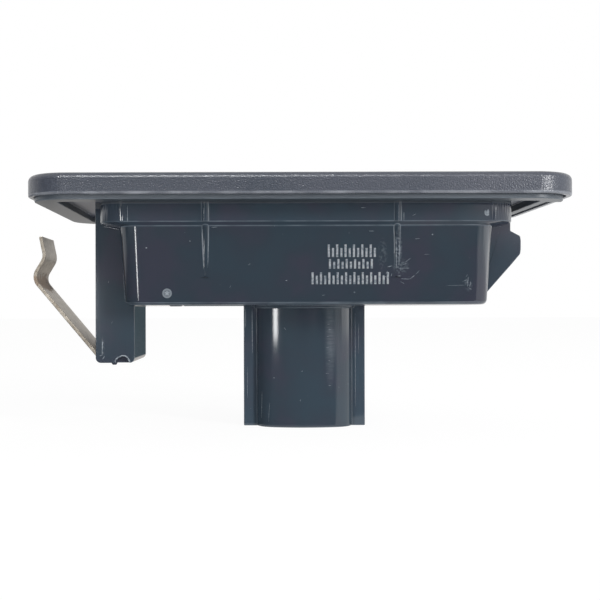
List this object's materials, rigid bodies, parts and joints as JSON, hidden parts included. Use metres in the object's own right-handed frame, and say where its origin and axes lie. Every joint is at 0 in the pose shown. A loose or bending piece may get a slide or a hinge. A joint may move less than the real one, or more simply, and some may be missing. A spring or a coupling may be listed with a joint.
{
  "type": "number plate lamp",
  "caption": "Snap-in number plate lamp with a clear lens in a black bezel, a spring clip at one end, a moulded catch at the other and a plug socket behind.",
  "frame": {"origin": "centre of the flange's outline on the plane where its rim seats against the body panel", "axes": "+X along the lamp from the spring clip to the catch, +Y across it to the back, +Z out of the lens; the housing and its socket point along -Z"},
  "size_m": [0.092, 0.048, 0.0432],
  "materials": {
    "housing": "smooth glossy black moulded plastic",
    "bezel": "finely grained satin black plastic",
    "lens": "clear polycarbonate",
    "seal": "soft black rubber",
    "reflector": "white moulded plastic",
    "board": "white solder mask on glass fibre",
    "led": "white package with yellow phosphor",
    "component": "black moulded component",
    "can": "bare aluminium can",
    "terminal": "tinned brass",
    "screw": "zinc-plated steel",
    "spring": "warm grey spring steel"
  },
  "bodies": {
    "root": {"housing": "housing", "bezel": "bezel", "lens": "lens", "lens_seal": "seal", "reflector": "reflector", "circuit_board": "board", "led_1": "led", "led_2": "led", "led_3": "led", "led_4": "led", "resistor_1": "component", "resistor_2": "component", "resistor_3": "component", "resistor_4": "component", "diode": "component", "capacitor": "can", "terminal_1": "terminal", "terminal_2": "terminal", "board_screws": "screw", "spring_clip": "spring"}
  },
  "joints": []
}
